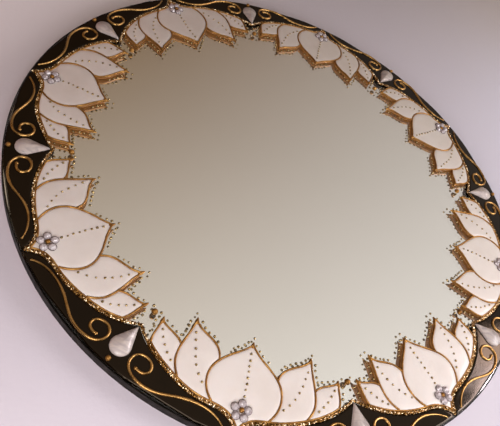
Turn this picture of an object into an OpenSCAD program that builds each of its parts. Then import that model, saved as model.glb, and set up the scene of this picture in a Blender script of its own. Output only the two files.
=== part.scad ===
// Round wall mirror with a border of eight lotus flowers in low relief.
// A glass disc is glued to a hardboard back. Around its front, black
// glossy panels and brass-coloured lotus frames filled with white enamel
// are glued on, with pearl drops, crystal flowers, scrolls and beads.
// It hangs on a wall from two ring hangers at its back.
// Frame: the mirror faces -Y, +Z is up, +X is to the viewer's right, and
// the origin is the centre of the wall plane, where the pads touch.

/* [Disc] */
// Radius of the mirror glass
disc_r = 200; // [150:1:260]
// Thickness of the mirror glass
glass_t = 4; // [3:0.5:6]
// Thickness of the hardboard back
board_t = 3.2; // [3:0.1:6]
// How far the board stops short of the rim of the glass
board_inset = 0.6; // [0:0.1:3]
// Thickness of the black band around the edge
band_t = 0.5; // [0.3:0.1:1]
// Bevel on the front edge of the glass
glass_bevel = 0.5; // [0.2:0.1:1]

/* [Border relief] */
// Height of the black panels above the glass
panel_t = 1.4; // [1:0.1:3]
// Height of the brass lotus frames above the glass
frame_h = 2.2; // [1.5:0.1:4]
// Thickness of the floor of each lotus frame
frame_floor = 0.7; // [0.5:0.1:1.5]
// Width of the brass outline around each petal
line_w = 1.4; // [0.8:0.1:2.5]
// Depth of the enamel below the top of the outlines
enamel_drop = 0.3; // [0:0.1:0.8]
// Radius of the blob at the tip of each petal
tip_r = 1.7; // [1:0.1:2.5]
// Width of the beaded rope between flowers and panels
rope_w = 2.6; // [1.6:0.1:4]
// Height of the rope above the glass
rope_h = 2.0; // [1:0.1:4]

/* [Scrolls] */
// Width of the scroll line
scroll_w = 2.2; // [1.2:0.1:3]
// Width of the scroll at the end of its tail
scroll_tail_w = 1.2; // [0.6:0.1:2]
// Height of the scrolls above the panels
scroll_h = 1.1; // [0.6:0.1:2]

/* [Stones and beads] */
// Radius of the round end of each pearl drop
drop_r = 6.3; // [4:0.1:8]
// Length of each pearl drop
drop_len = 21.6; // [16:0.1:26]
// Height of the middle of each pearl drop above the panel
drop_h = 3.2; // [2:0.1:5]
// Height of the edge of each pearl drop above the panel
drop_edge = 1.2; // [0.6:0.1:2]
// Diameter of one crystal
stone_d = 4.7; // [3:0.1:6]
// Height of one crystal
stone_h = 2.1; // [1.4:0.1:3]
// Radius of the bead at the heart of a crystal flower
heart_r = 1.5; // [1:0.1:2]
// Radius of the bead between neighbouring flowers
big_bead_r = 2.0; // [1.5:0.1:3]
// Radius of the bead between a pearl drop and the rim
rim_bead_r = 1.6; // [1:0.1:2.5]
// Radius of the dots on the mirror
mirror_dot_r = 0.7; // [0.4:0.05:1.2]
// Radius of the dots on the petals
petal_dot_r = 0.85; // [0.4:0.05:1.2]

/* [Hangers] */
// Thickness of the wall pads, and so the gap behind the board
pad_t = 5; // [4.5:0.1:8]
// Radius of a wall pad
pad_r = 8; // [5:0.5:12]
// Distance of each hanger from the centre line
hanger_x = 95; // [60:1:130]
// Height of the hinge of each hanger above the centre
hanger_z = 112; // [60:1:130]
// Radius of the ring's wire
wire_r = 1.0; // [0.8:0.1:1.5]
// Half the width of the ring, to the middle of its wire
ring_half = 8; // [6:0.5:10]
// Length of the ring's straight legs
ring_leg = 6; // [4:0.5:10]
// Width of the strap
strap_w = 9; // [6:0.5:11]
// Length of the strap below its hinge
strap_len = 32; // [30:1:45]
// Thickness of the strap's sheet metal
strap_t = 0.8; // [0.6:0.1:1.2]

/* [Hidden] */
$fn = 64;
petals_n = 8;                   // flowers around the border
half_angle = 180 / petals_n;    // from a flower's axis to a panel's axis
unit_r = disc_r / 200;          // outlines are drawn for a 200 mm radius
curve_n = 10;                   // straight pieces in each curve
fit = 0.06;                     // clearance around an inlaid piece
seam = 0.04;                    // gap between neighbouring rope arcs

board_z = pad_t;                // back face of the board, from the wall
glass_z = board_z + board_t;    // back face of the glass
front_z = glass_z + glass_t;    // front face of the glass
panel_z = front_z + panel_t;    // front face of the black panels
enamel_z = front_z + frame_h - enamel_drop;
rim_r = disc_r - 0.5 * unit_r;  // outer edge of panels and ropes

bore_r = wire_r + 0.07;         // running fit of the ring in its loop
loop_r = bore_r + 0.9;          // outside of the strap's rolled loop
loop_z = board_z - strap_t - 1.5;       // axis of the ring's hinge
screw_r = 1.3;
screw_head_r = 3;
screw_head_h = 1.6;
screw_bite = 2.3;               // how far a screw enters the board
screw_drops = [19, 27];         // screws below the hinge, along the strap

black = [0.03, 0.03, 0.03];
brass = [0.72, 0.50, 0.24];
enamel = [0.93, 0.90, 0.87];
pearl = [0.88, 0.85, 0.88];

// ---- curves, drawn with the flower at the foot of the disc ----
// x runs along the rim, y towards the centre, for a 200 mm radius.
function bez(a, b, c, d, n = curve_n) = [for (i = [0:n])
    let (t = i / n, s = 1 - t)
    s * s * s * a + 3 * s * s * t * b + 3 * s * t * t * c + t * t * t * d];
// curves joined end to end, each one's last point left to the next
function joined(cs) = [for (c = cs) for (i = [0:len(c) - 2]) c[i]];
function last(p) = p[len(p) - 1];
function unit(v) = v / norm(v);
function back(p) = [for (i = [len(p) - 1:-1:0]) p[i]];
function mirrored(p) = [for (v = p) [-v[0], v[1]]];
function turned(p, a) = [for (v = p)
    [v[0] * cos(a) - v[1] * sin(a), v[0] * sin(a) + v[1] * cos(a)]];
function sized(p) = [for (v = p) v * unit_r];

// The border was laid by hand. These are the turns, in degrees, of every
// half_angle around the disc: flowers and panels in turn, from the right.
turns = [-1, -0.5, 0, 0, 0, 0.2, 0.5, 0.8, 1.2, -0.8, -1, -0.3, 0.6, 1.3,
         0, -0.5];
function eased(t) = t * t * (3 - 2 * t);
// the turn at an angle around the disc
function turn_at(a) = let (n = len(turns), s = ((a % 360) + 360) % 360
        / 360 * n, i = floor(s), b = turns[i % n])
    b + (turns[(i + 1) % n] - b) * eased(s - i);
// points drawn in a frame that is rotated by a, as they lie on the disc
function laid(p, a) = [for (v = p)
    let (u = turned([v], a)[0], r = atan2(u[1], u[0]))
    norm(u) * [cos(r + turn_at(r)), sin(r + turn_at(r))]];

// an open line moved to its right by d
function shifted(p, d) = [for (i = [0:len(p) - 1])
    let (t = unit(p[min(i + 1, len(p) - 1)] - p[max(i - 1, 0)]))
    p[i] + d * [t[1], -t[0]]];
// a closed clockwise outline grown by g
function grown(p, g) = let (n = len(p)) [for (i = [0:n - 1])
    let (t = unit(p[(i + 1) % n] - p[(i + n - 1) % n]))
    p[i] + g * [-t[1], t[0]]];
// the stretch of a line where v . p <= c, cut at the border
function cropped(p, v, c) = [for (i = [0:len(p) - 1])
    let (a = v * p[i] - c, q = p[min(i + 1, len(p) - 1)], b = v * q - c)
    each concat(a <= 0 ? [p[i]] : [],
                a * b < 0 ? [p[i] + (q - p[i]) * a / (a - b)] : [])];
// the point at distance s along a line
function along(p, s, i = 0) = let (d = norm(p[i + 1] - p[i]))
    s <= d || i >= len(p) - 2 ? p[i] + (p[i + 1] - p[i]) * s / d
                              : along(p, s - d, i + 1);
function row(p, first, pitch, count) =
    [for (k = [0:count - 1]) along(p, first + k * pitch)];

// the ogee edge of a flower, from its base point to the cusp
cusp = 170 * [sin(half_angle), -cos(half_angle)];
edge_inner = concat(
    joined([bez([0, -198.6], [2.5, -191.5], [8, -188.3], [16, -186.8])]),
    bez([16, -186.8], [33, -184.2], [51.5, -176.5], cusp, 2 * curve_n));
edge = concat([edge_inner[0] - 5 * unit(edge_inner[1] - edge_inner[0])],
    edge_inner,
    [cusp + 3 * unit(cusp - edge_inner[len(edge_inner) - 2])]);
wedge = [cos(half_angle), sin(half_angle)];     // across the cusp's axis

// petal outlines, each clockwise from its tip
centre_tip = [0, -145];
centre_right = joined([
    bez(centre_tip, [6, -153.5], [21.5, -159.5], [21.5, -172]),
    bez([21.5, -172], [21.5, -183], [12, -189], [0, -200])]);
centre_leaf = concat(centre_right, [[0, -200]],
    [for (i = [len(centre_right) - 1:-1:1])
        [-centre_right[i][0], centre_right[i][1]]]);

inner_tip = [35.5, -142.5];
inner_out = [
    bez(inner_tip, [36, -150], [41, -157.5], [41.3, -167]),
    bez([41.3, -167], [41.5, -174], [36, -182], [27, -189])];
inner_in = [
    bez([16, -189], [14, -180], [18, -168], [18.5, -160]),
    bez([18.5, -160], [20, -150.5], [32, -149.5], inner_tip)];
inner_leaf = concat(joined(inner_out), [last(inner_out[1])],
                    joined(inner_in));

outer_tip = [54.5, -150.5];
outer_out = [
    bez(outer_tip, [54.2, -155], [56.6, -158], [56.3, -163]),
    bez([56.3, -163], [56, -170], [50, -178], [40, -184])];
outer_in = [
    bez([33, -188], [35, -178], [38, -168], [41, -161]),
    bez([41, -161], [43.5, -154.5], [51, -154.5], outer_tip)];
outer_leaf = concat(joined(outer_out), [last(outer_out[1])],
                    joined(outer_in));

// the ground of a flower: everything inside its edge, d short of it
function ground(d) = let (
    right = concat(cropped(shifted(edge, -d), [-1, 0], 0), [[72, -120]]))
    concat(right, back(mirrored([for (i = [1:len(right) - 1]) right[i]])));

// a rope arc from cusp to cusp
function rope_outline(w) = let (
    inside = cropped(cropped(shifted(edge, -w / 2), [-1, 0], 0),
                     wedge, -seam),
    outside = cropped(cropped(shifted(edge, w / 2), [0, -1], 199.2),
                      wedge, -seam),
    right = concat(inside, back(outside)))
    concat(right, back(mirrored([for (i = [1:len(right) - 1]) right[i]])));

// a black panel, drawn with its own axis downwards and open past the rim
function panel_outline(d) = let (
    right = cropped(turned(mirrored(shifted(edge, d)), half_angle),
                    [-1, 0], 0),
    path = back(right))
    concat(path, [[80, -215], [-80, -215]],
           back(mirrored([for (i = [0:len(path) - 2]) path[i]])));

// one scroll, from its tail near the flower's base to its curl
scroll_line = concat(joined([
    bez([68.5, -185], [61.5, -181.4], [52, -181.6], [44, -185.5]),
    bez([44, -185.5], [36, -189.4], [32, -195.2], [22, -196]),
    bez([22, -196], [14, -196.6], [9.2, -193.6], [9.2, -188]),
    bez([9.2, -188], [9.2, -184.8], [11.7, -182.6], [15, -182.6]),
    bez([15, -182.6], [18.5, -182.6], [21, -184.6], [21, -187.4]),
    bez([21, -187.4], [21, -190.3], [18, -191.8], [14.5, -191.2])]),
    [[14.5, -191.2]]);
function scroll_outline() = let (n = len(scroll_line),
    half = [for (i = [0:n - 1]) 0.5 * (scroll_w
        - (scroll_w - scroll_tail_w) * max(0, 1 - i / curve_n))],
    lines = [for (s = [-1, 1]) [for (i = [0:n - 1])
        let (t = unit(scroll_line[min(i + 1, n - 1)]
                      - scroll_line[max(i - 1, 0)]))
        scroll_line[i] + s * half[i] * [t[1], -t[0]]]])
    concat(lines[0], back(lines[1]));

// the dots that follow a flower's inner contour on the mirror
dot_gap = line_w + 2.0;
function flank(c) = shifted(c, -dot_gap);
mirror_dots_right = concat(
    row(flank(joined([bez(centre_tip, [6, -153.5], [21.5, -159.5],
                          [21.5, -172])])), 0.4, 3.6, 4),
    row(back(shifted(bez([18.5, -160], [20, -150.5], [32, -149.5],
                         inner_tip), -dot_gap)), 0.6, 3.6, 5),
    row(flank(inner_out[0]), 0.6, 3.6, 4),
    row(back(shifted(bez([41, -161], [43.5, -154.5], [51, -154.5],
                         outer_tip), -dot_gap)), 0.8, 3.6, 3),
    row(flank(joined(outer_out)), 0.8, 3.6, 3),
    [inner_tip + [0.8, 5.4], outer_tip + [2.2, 5.2]]);
mirror_dot_places = concat([centre_tip + [0, 5.4]],
    mirror_dots_right, mirrored(mirror_dots_right));

// the dots down the middle of each petal
petal_dots_right = concat(
    row(bez([34.6, -149.5], [33, -158], [33, -168], [22.5, -178]),
        0, 4.9, 7),
    row(bez([52.8, -155.5], [50.5, -162], [48, -169], [39, -175.5]),
        0, 4.5, 5));
petal_dot_places = concat([for (k = [0:7]) [0, -150.5 - 3.75 * k]],
    petal_dots_right, mirrored(petal_dots_right));

crystal_y = -185;               // middle of a crystal flower
stone_ring = 4.15;              // from the heart to each stone
big_bead_y = -158.5;
rim_bead_y = -197;
drop_tip_y = -171.8;
drop_mid_y = drop_tip_y - drop_len + drop_r;

// ---- placing ----
// from the drawing plane (z away from the wall) to the upright part
module upright() rotate([90, 0, 0]) children();
// flower 1 is at the top and the count runs clockwise
function flower_turn(i) = 180 - 2 * half_angle * (i - 1);
function panel_turn(i) = 180 - half_angle * (2 * i - 1);
// what is drawn at the foot of the disc, turned by a as one piece
module swung(a) rotate([0, 0, a + turn_at(a - 90)]) children();
// a plate of an outline that is drawn in a frame rotated by a
module slab(p, a, z, h) translate([0, 0, z]) linear_extrude(h)
    polygon(sized(laid(p, a)));
// a flat-backed bead whose ball is cut off just under its middle
module bead(p, a, z, r) translate(concat(sized(laid([p], a))[0], z))
    intersection() {
        translate([0, 0, r * 0.35]) sphere(r);
        translate([-2 * r, -2 * r, 0]) cube([4 * r, 4 * r, 4 * r]);
    }

// ---- disc ----
module backing_board() color([0.30, 0.20, 0.13]) upright() difference() {
    translate([0, 0, board_z])
        cylinder(h = board_t, r = disc_r - board_inset, $fn = 180);
    for (s = [-1, 1], d = screw_drops)
        translate([s * hanger_x, hanger_z - d, board_z - 1])
            cylinder(h = 1 + screw_bite + 0.2, r = screw_r + 0.02);
}

module mirror_glass() color([0.75, 0.72, 0.69]) upright()
    rotate_extrude($fn = 180) polygon([[0, glass_z], [disc_r, glass_z],
        [disc_r, front_z - glass_bevel],
        [disc_r - glass_bevel, front_z], [0, front_z]]);

module edge_band() color(black) upright() difference() {
    translate([0, 0, board_z]) cylinder(
        h = board_t + glass_t - glass_bevel, r = disc_r + band_t, $fn = 180);
    translate([0, 0, board_z - 1]) cylinder(
        h = board_t + glass_t + 2, r = disc_r + 0.02, $fn = 180);
}

// ---- border ----
module border_panel(i) color(black) upright() intersection() {
    slab(panel_outline(rope_w / 2 + fit), panel_turn(i), front_z, panel_t);
    translate([0, 0, front_z - 1])
        cylinder(h = panel_t + 2, r = rim_r, $fn = 180);
}

// the white fields of a flower that is rotated by a, each shrunk by d
module white_field(leaf, over, a, z, h, d) intersection() {
    difference() {
        slab(grown(leaf, -d), a, z, h);
        for (p = over) slab(grown(p, line_w + d), a, z - 1, h + 2);
    }
    slab(ground(rope_w / 2 + line_w * 0.6 + d), a, z, h);
}
module side_fields(a, z, h, d) for (s = [1, -1]) {
    white_field(sided(inner_leaf, s), [centre_leaf], a, z, h, d);
    white_field(sided(outer_leaf, s), [sided(inner_leaf, s)], a, z, h, d);
}
// an outline as drawn, or mirrored with its sense kept
function sided(p, s) = s > 0 ? p : back(mirrored(p));

module lotus_frame(i) color(brass) upright() difference() {
    a = flower_turn(i);
    intersection() {
        union() {
            slab(grown(centre_leaf, line_w), a, front_z, frame_h);
            for (s = [1, -1], p = [inner_leaf, outer_leaf])
                slab(grown(sided(p, s), line_w), a, front_z, frame_h);
            for (p = [centre_tip, inner_tip, outer_tip,
                      [-inner_tip[0], inner_tip[1]],
                      [-outer_tip[0], outer_tip[1]]])
                translate(concat(sized(laid([p + [0, 0.9]], a))[0], front_z))
                    cylinder(h = frame_h, r = tip_r);
        }
        slab(ground(rope_w / 2 + fit), a, front_z - 1, frame_h + 2);
    }
    white_field(centre_leaf, [], a, front_z + frame_floor, frame_h, 0);
    side_fields(a, front_z + frame_floor, frame_h, 0);
    // seats where the crystals reach over the outline
    swung(a) at_stones(enamel_z)
        cylinder(h = frame_h, r = stone_d / 2 + fit);
}

enamel_t = frame_h - frame_floor - enamel_drop;
module centre_petal(i) color(enamel) upright() white_field(centre_leaf, [],
    flower_turn(i), front_z + frame_floor, enamel_t, fit);

module side_petals(i) color(enamel) upright()
    side_fields(flower_turn(i), front_z + frame_floor, enamel_t, fit);

module rope_edging() color(brass) upright() for (i = [1:petals_n])
    slab(rope_outline(rope_w), flower_turn(i), front_z, rope_h);

module panel_scrolls() color(brass) upright()
    for (i = [1:petals_n], s = [1, -1])
        slab(s > 0 ? scroll_outline() : mirrored(scroll_outline()),
             panel_turn(i), panel_z, scroll_h);

// ---- stones and beads ----
module teardrops() color(pearl) upright() for (i = [1:petals_n])
    swung(panel_turn(i)) {
    tip = drop_tip_y * unit_r;
    mid = drop_mid_y * unit_r;
    reach = tip - mid;
    a = acos(drop_r / reach);
    ball_r = (pow(drop_len / 2, 2) + pow(drop_h - drop_edge, 2))
        / (2 * (drop_h - drop_edge));
    intersection() {
        union() {
            translate([0, mid, panel_z]) cylinder(h = drop_h, r = drop_r);
            translate([0, 0, panel_z]) linear_extrude(drop_h) polygon([
                [0, tip], [drop_r * sin(a), mid + drop_r * cos(a)],
                [0, mid], [-drop_r * sin(a), mid + drop_r * cos(a)]]);
        }
        translate([0, tip - drop_len / 2, panel_z + drop_h - ball_r])
            sphere(ball_r, $fn = 120);
    }
}

module crystal_flower(i) color([0.72, 0.70, 0.74]) upright() {
    swung(flower_turn(i)) at_stones(enamel_z) {
        cylinder(h = stone_h * 0.35, r = stone_d / 2);
        translate([0, 0, stone_h * 0.35])
            cylinder(h = stone_h * 0.65, r1 = stone_d / 2,
                     r2 = stone_d * 0.3);
    }
    color(brass) bead([0, crystal_y], flower_turn(i), enamel_z, heart_r);
}
// the five crystals of a flower, around its heart
module at_stones(z) for (k = [0:4])
    translate([0, crystal_y * unit_r, z]) rotate([0, 0, 72 * k])
        translate([0, stone_ring, 0]) children();

module gold_beads() color(brass) upright() for (i = [1:petals_n]) {
    bead([0, big_bead_y], panel_turn(i), front_z, big_bead_r);
    bead([0, rim_bead_y], panel_turn(i), panel_z, rim_bead_r);
}

module mirror_dots() color(brass) upright() for (i = [1:petals_n])
    for (p = mirror_dot_places)
        bead(p, flower_turn(i), front_z, mirror_dot_r);

module petal_dots() color(brass) upright() for (i = [1:petals_n])
    for (p = petal_dot_places)
        bead(p, flower_turn(i), enamel_z, petal_dot_r);

// ---- hangers ----
module hanger_strap(s) color([0.62, 0.60, 0.56]) upright()
    translate([s * hanger_x, hanger_z, 0]) difference() {
        union() {
            translate([-strap_w / 2, -strap_len, board_z - strap_t])
                cube([strap_w, strap_len, strap_t]);
            translate([-strap_w / 2, -1, loop_z])
                cube([strap_w, 2, board_z - strap_t / 2 - loop_z]);
            translate([-strap_w / 2, 0, loop_z]) rotate([0, 90, 0])
                cylinder(h = strap_w, r = loop_r);
        }
        translate([-strap_w, 0, loop_z]) rotate([0, 90, 0])
            cylinder(h = 2 * strap_w, r = bore_r);
        for (d = screw_drops) translate([0, -d, board_z - strap_t - 1])
            cylinder(h = strap_t + 2, r = screw_r + 0.1);
    }

// the ring hangs down from its hinge
module hanger_ring(s) color([0.70, 0.68, 0.64]) upright()
    translate([s * hanger_x, hanger_z, loop_z]) {
        translate([-ring_half, 0, 0]) rotate([0, 90, 0])
            cylinder(h = 2 * ring_half, r = wire_r);
        for (m = [-1, 1]) translate([m * ring_half, 0, 0]) {
            sphere(wire_r);
            rotate([90, 0, 0]) cylinder(h = ring_leg, r = wire_r);
        }
        translate([0, -ring_leg, 0]) rotate([0, 0, 180])
            rotate_extrude(angle = 180) translate([ring_half, 0])
                circle(wire_r);
    }

module hanger_screws() color([0.75, 0.73, 0.70]) upright()
    for (s = [-1, 1], d = screw_drops)
        translate([s * hanger_x, hanger_z - d, 0]) difference() {
            union() {
                translate([0, 0, board_z - strap_t - screw_head_h])
                    cylinder(h = screw_head_h, r1 = screw_head_r * 0.75,
                             r2 = screw_head_r);
                translate([0, 0, board_z - strap_t - 0.1])
                    cylinder(h = strap_t + screw_bite + 0.1, r = screw_r);
            }
            for (a = [0, 90]) rotate([0, 0, a]) translate(
                [-1.7, -0.35, board_z - strap_t - screw_head_h - 1])
                cube([3.4, 0.7, 1.9]);
        }

module wall_pads() color([0.16, 0.15, 0.15]) upright()
    for (p = [[-120, -118], [120, -118], [-45, 165], [45, 165]])
        translate([p[0] * unit_r, p[1] * unit_r, 0])
            cylinder(h = pad_t, r = pad_r);

numbered = ["border_panel", "lotus_frame", "centre_petal", "side_petals",
            "crystal_flower"];

backing_board();
mirror_glass();
edge_band();
for (i = [1:petals_n]) {
    border_panel(i);
    lotus_frame(i);
    centre_petal(i);
    side_petals(i);
    crystal_flower(i);
}
rope_edging();
panel_scrolls();
teardrops();
gold_beads();
mirror_dots();
petal_dots();
hanger_strap(-1);  // strap_left
hanger_strap(1);  // strap_right
hanger_ring(-1);  // ring_left
hanger_ring(1);  // ring_right
hanger_screws();
wall_pads();
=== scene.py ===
"""Looks of the lotus wall mirror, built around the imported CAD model.

Outlines are drawn in millimetres with a flower at the foot of the disc: x runs along the rim,
y towards the centre of the disc and z away from the wall. laid() turns and bends them onto the
disc, and Solid.piece() brings them into the row frame, in metres.
"""

import math

import bpy
import numpy as np
from mathutils import Matrix, Vector
from mathutils.geometry import delaunay_2d_cdt

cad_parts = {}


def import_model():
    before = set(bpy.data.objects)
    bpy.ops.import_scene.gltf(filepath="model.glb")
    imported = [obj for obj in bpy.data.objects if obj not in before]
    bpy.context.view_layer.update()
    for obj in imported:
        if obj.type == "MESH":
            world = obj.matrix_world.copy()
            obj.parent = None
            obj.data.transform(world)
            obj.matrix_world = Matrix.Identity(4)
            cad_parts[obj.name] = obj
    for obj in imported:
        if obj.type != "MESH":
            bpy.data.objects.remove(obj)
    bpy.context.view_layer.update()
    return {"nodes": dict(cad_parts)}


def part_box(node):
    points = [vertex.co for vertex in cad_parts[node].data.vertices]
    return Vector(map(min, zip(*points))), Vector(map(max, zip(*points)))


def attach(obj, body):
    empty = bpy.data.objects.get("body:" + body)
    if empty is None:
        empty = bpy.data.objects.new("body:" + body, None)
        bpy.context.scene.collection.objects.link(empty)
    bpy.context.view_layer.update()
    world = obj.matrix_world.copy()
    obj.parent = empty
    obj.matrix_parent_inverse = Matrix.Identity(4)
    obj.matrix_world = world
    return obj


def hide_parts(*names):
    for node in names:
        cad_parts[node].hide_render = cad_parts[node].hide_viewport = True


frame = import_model()

MM = 0.001
random = np.random.default_rng(11)


# ---- heights above the wall and radii, in millimetres, mostly from the CAD nodes ----
def top_of(node):
    return -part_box(node)[0].y / MM


def floor_of(node):
    return -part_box(node)[1].y / MM


DISC_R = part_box("mirror_glass")[1].x / MM
GLASS_BACK = floor_of("mirror_glass")
GLASS = top_of("mirror_glass")
PANEL = top_of("border_panel_1")
ENAMEL = top_of("centre_petal_1")
OUTLINE = top_of("lotus_frame_1")
ROPE = top_of("rope_edging")
SCROLL = top_of("panel_scrolls")
DROP = top_of("teardrops")
STONE = top_of("crystal_flower_1")
UNIT = DISC_R / 200         # the outlines are drawn for a 200 mm radius

FLOWERS = range(1, 9)
HALF_ANGLE = 22.5           # from a flower's axis to the next panel's axis
LINE_W = 1.4                # gold outline around each petal
ROPE_HALF = 1.0             # half the width of the rope and of the gap it lies in
RIM_R = 199.5               # outer edge of the panels
GLUE = 0.02                 # how far the relief stands off the glass
FRAME_GAP = 0.06            # from the rope's bed to the panels and the flowers' floors
ENAMEL_GAP = 0.45           # and to the enamel
OUTLINE_GAP = 0.5           # and to the ends of the petals' outlines
FOOT_GAP = 0.42             # and to the outline along a flower's foot
CURVE_N = 14                # straight pieces in each curve
END_REACH = 0.6             # how far a cord's pointed ends reach out, in half widths


# ---- drawing ----
def bez(a, b, c, d, n=CURVE_N):
    a, b, c, d = map(np.array, (a, b, c, d))
    t = np.linspace(0, 1, n + 1)[:, None]
    s = 1 - t
    return s ** 3 * a + 3 * s * s * t * b + 3 * s * t * t * c + t ** 3 * d


def joined(*curves):
    return np.concatenate([c[:-1] for c in curves[:-1]] + [curves[-1]])


def mirrored(p):
    return np.asarray(p) * [-1, 1]


def rotated(p, degrees):
    a = math.radians(degrees)
    return np.asarray(p) @ np.array([[math.cos(a), math.sin(a)], [-math.sin(a), math.cos(a)]])


def unit(v):
    return v / np.linalg.norm(v, axis=-1, keepdims=True)


def directions(p):
    """The unit direction of an open line at each of its points."""
    return unit(np.concatenate([p[1:2] - p[:1], p[2:] - p[:-2], p[-1:] - p[-2:-1]]))


def shifted(p, d):
    """An open line moved to its right by d."""
    t = directions(p)
    return p + d * np.stack([t[:, 1], -t[:, 0]], 1)


def grown(p, g):
    """A closed clockwise outline grown by g."""
    t = unit(np.roll(p, -1, 0) - np.roll(p, 1, 0))
    return p + g * np.stack([-t[:, 1], t[:, 0]], 1)


def lengths(p):
    """How far along an open line each of its points lies."""
    return np.concatenate([[0], np.cumsum(np.linalg.norm(np.diff(p, axis=0), axis=1))])


def points_at(p, at):
    """The points of an open line at the distances in at."""
    s = lengths(p)
    return np.stack([np.interp(at, s, p[:, 0]), np.interp(at, s, p[:, 1])], 1)


def resampled(p, pitch):
    """Points along an open line, about pitch apart."""
    total = lengths(p)[-1]
    return points_at(p, np.linspace(0, total, max(2, round(total / pitch) + 1)))


def resampled_closed(p, pitch):
    return resampled(np.concatenate([p, p[:1]]), pitch)[:-1]


def row(p, first, pitch, count):
    """A row of count points along an open line."""
    return points_at(p, first + pitch * np.arange(count))


def within(points, outline):
    """Which points lie inside a closed outline."""
    x, y = points[:, :1], points[:, 1:]
    a, b = outline, np.roll(outline, -1, 0)
    crosses = (a[:, 1] > y) != (b[:, 1] > y)
    rise = np.where(b[:, 1] == a[:, 1], 1, b[:, 1] - a[:, 1])
    return (crosses & (x < a[:, 0] + (b[:, 0] - a[:, 0]) * (y - a[:, 1]) / rise)).sum(1) % 2 == 1


def in_any(points, outlines):
    """Which points lie inside one of the closed outlines, if there are any."""
    return np.any([within(points, o) for o in outlines], axis=0)


def distance(points, segments):
    """The distance from each point to the nearest of the segments."""
    batch = 1000
    a, d = segments[:, 0], segments[:, 1] - segments[:, 0]
    squared = np.maximum((d * d).sum(1), 1e-12)
    out = np.empty(len(points))
    for i in range(0, len(points), batch):
        p = points[i:i + batch, None] - a
        t = np.clip((p * d).sum(2) / squared, 0, 1)
        out[i:i + batch] = np.linalg.norm(p - d * t[..., None], axis=2).min(1)
    return out


# The border was laid by hand. These are its turns, in degrees, at every half angle around
# the disc: flowers and panels in turn, from the right.
TURNS = [-1, -0.5, 0, 0, 0, 0.2, 0.5, 0.8, 1.2, -0.8, -1, -0.3, 0.6, 1.3, 0, -0.5]


def turn_at(degrees):
    s = (np.asarray(degrees) % 360) / 360 * len(TURNS)
    i = np.floor(s).astype(int)
    t = s - i
    turns = np.array(TURNS + TURNS[:2])
    return turns[i] + (turns[i + 1] - turns[i]) * t * t * (3 - 2 * t)


WAVE_COUNT = 6
WAVE_PACE = 0.16            # radians per millimetre of the quickest wave
WAVE_START = 6.3
WOBBLE = 0.16               # how far one wave moves a line drawn by hand
STILL_R = 197               # the waves fade out towards this radius
STILL_FADE = 8
WAVES = [(random.uniform(-1, 1, 2) * WAVE_PACE, random.uniform(0, WAVE_START, 2))
         for _ in range(WAVE_COUNT)]


def laid(p, turn):
    """Points drawn in a frame rotated by turn, as they lie on the disc."""
    u = rotated(p, turn)
    r = np.linalg.norm(u, axis=1, keepdims=True)
    a = np.degrees(np.arctan2(u[:, 1], u[:, 0]))
    a = np.radians(a + turn_at(a))
    moved = r * np.stack([np.cos(a), np.sin(a)], 1)
    fade = np.clip((STILL_R - r) / STILL_FADE, 0, 1)
    for k, phase in WAVES:
        moved = moved + WOBBLE * np.sin((u @ k)[:, None] + phase) * fade
    return moved * UNIT


def swung(p, turn):
    """Points turned onto the disc as one piece, without bending."""
    return rotated(p, turn + float(turn_at(turn - 90))) * UNIT


def flower_turn(i):
    return 180 - 2 * HALF_ANGLE * (i - 1)


def panel_turn(i):
    return 180 - HALF_ANGLE * (2 * i - 1)


# ---- outlines ----
CUSP = 170 * np.array([math.sin(math.radians(HALF_ANGLE)), -math.cos(math.radians(HALF_ANGLE))])
EDGE = joined(bez([0, -198.6], [2.5, -191.5], [8, -188.3], [16, -186.8]),
              bez([16, -186.8], [33, -184.2], [51.5, -176.5], CUSP, 2 * CURVE_N))
EDGE_LONG = np.concatenate([[EDGE[0] - 5 * unit(EDGE[1] - EDGE[0])], EDGE,
                            [CUSP + 3 * unit(CUSP - EDGE[-2])]])

CENTRE_TIP = np.array([0, -145])
CENTRE_OUT = bez(CENTRE_TIP, [6, -153.5], [21.5, -159.5], [21.5, -172])
CENTRE_SIDE = joined(CENTRE_OUT, bez([21.5, -172], [21.5, -183], [12, -189], [0, -200]))
CENTRE_LEAF = np.concatenate([CENTRE_SIDE, mirrored(CENTRE_SIDE)[-2:0:-1]])

INNER_TIP = np.array([35.5, -142.5])
INNER_OUT = [bez(INNER_TIP, [36, -150], [41, -157.5], [41.3, -167]),
             bez([41.3, -167], [41.5, -174], [36, -182], [27, -189])]
INNER_IN = [bez([16, -189], [14, -180], [18, -168], [18.5, -160]),
            bez([18.5, -160], [20, -150.5], [32, -149.5], INNER_TIP)]
INNER_LEAF = np.concatenate([joined(*INNER_OUT), joined(*INNER_IN)[:-1]])

OUTER_TIP = np.array([54.5, -150.5])
OUTER_OUT = [bez(OUTER_TIP, [54.2, -155], [56.6, -158], [56.3, -163]),
             bez([56.3, -163], [56, -170], [50, -178], [40, -184])]
OUTER_IN = [bez([33, -188], [35, -178], [38, -168], [41, -161]),
            bez([41, -161], [43.5, -154.5], [51, -154.5], OUTER_TIP)]
OUTER_LEAF = np.concatenate([joined(*OUTER_OUT), joined(*OUTER_IN)[:-1]])

SCROLL_LINE = joined(
    bez([68.5, -185], [61.5, -181.4], [52, -181.6], [44, -185.5]),
    bez([44, -185.5], [36, -189.4], [32, -195.2], [22, -196]),
    bez([22, -196], [14, -196.6], [9.2, -193.6], [9.2, -188]),
    bez([9.2, -188], [9.2, -184.8], [11.7, -182.6], [15, -182.6]),
    bez([15, -182.6], [18.5, -182.6], [21, -184.6], [21, -187.4]),
    bez([21, -187.4], [21, -190.3], [18, -191.8], [14.5, -191.2]))

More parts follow.
